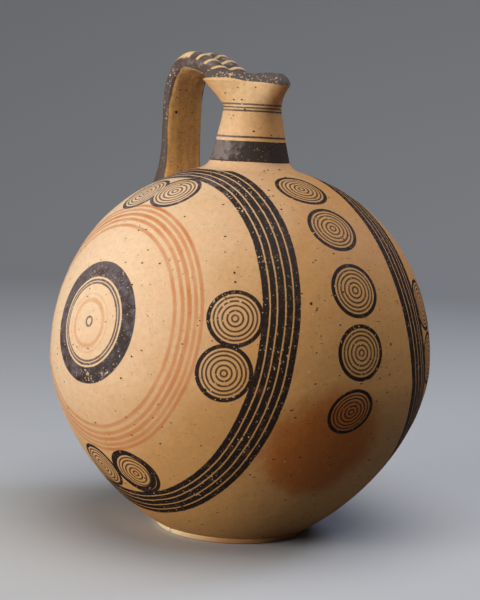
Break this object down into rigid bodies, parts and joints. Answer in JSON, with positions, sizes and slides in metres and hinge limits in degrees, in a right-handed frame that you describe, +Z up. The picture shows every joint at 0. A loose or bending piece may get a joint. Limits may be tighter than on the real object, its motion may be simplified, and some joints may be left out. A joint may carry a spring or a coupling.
{
  "type": "jug",
  "caption": "Round-bodied painted earthenware jug with a ring foot, narrow neck, pinched mouth and a high strap handle.",
  "frame": {"origin": "centre of the foot ring's underside, on the ground", "axes": "+Z up along the neck's axis, +X towards the spout, -X towards the handle, the painted flanks face -Y and +Y"},
  "size_m": [0.236, 0.236, 0.2961],
  "materials": {
    "foot_ring_clay": "bare fired clay, matt",
    "lower_bowl_clay": "buff slip, burnished, matt",
    "upper_bowl_clay": "buff slip, burnished, matt",
    "seam_coil_clay": "bare fired clay, matt",
    "neck_clay": "buff slip, burnished, matt",
    "neck_collar_clay": "buff slip, burnished, matt",
    "mouth_clay": "buff slip, burnished, matt",
    "strap_handle_clay": "buff slip, burnished, matt"
  },
  "bodies": {
    "root": {"foot_ring": "foot_ring_clay", "lower_bowl": "lower_bowl_clay", "upper_bowl": "upper_bowl_clay", "seam_coil": "seam_coil_clay", "neck": "neck_clay", "neck_collar": "neck_collar_clay", "mouth": "mouth_clay", "strap_handle": "strap_handle_clay"}
  },
  "joints": []
}
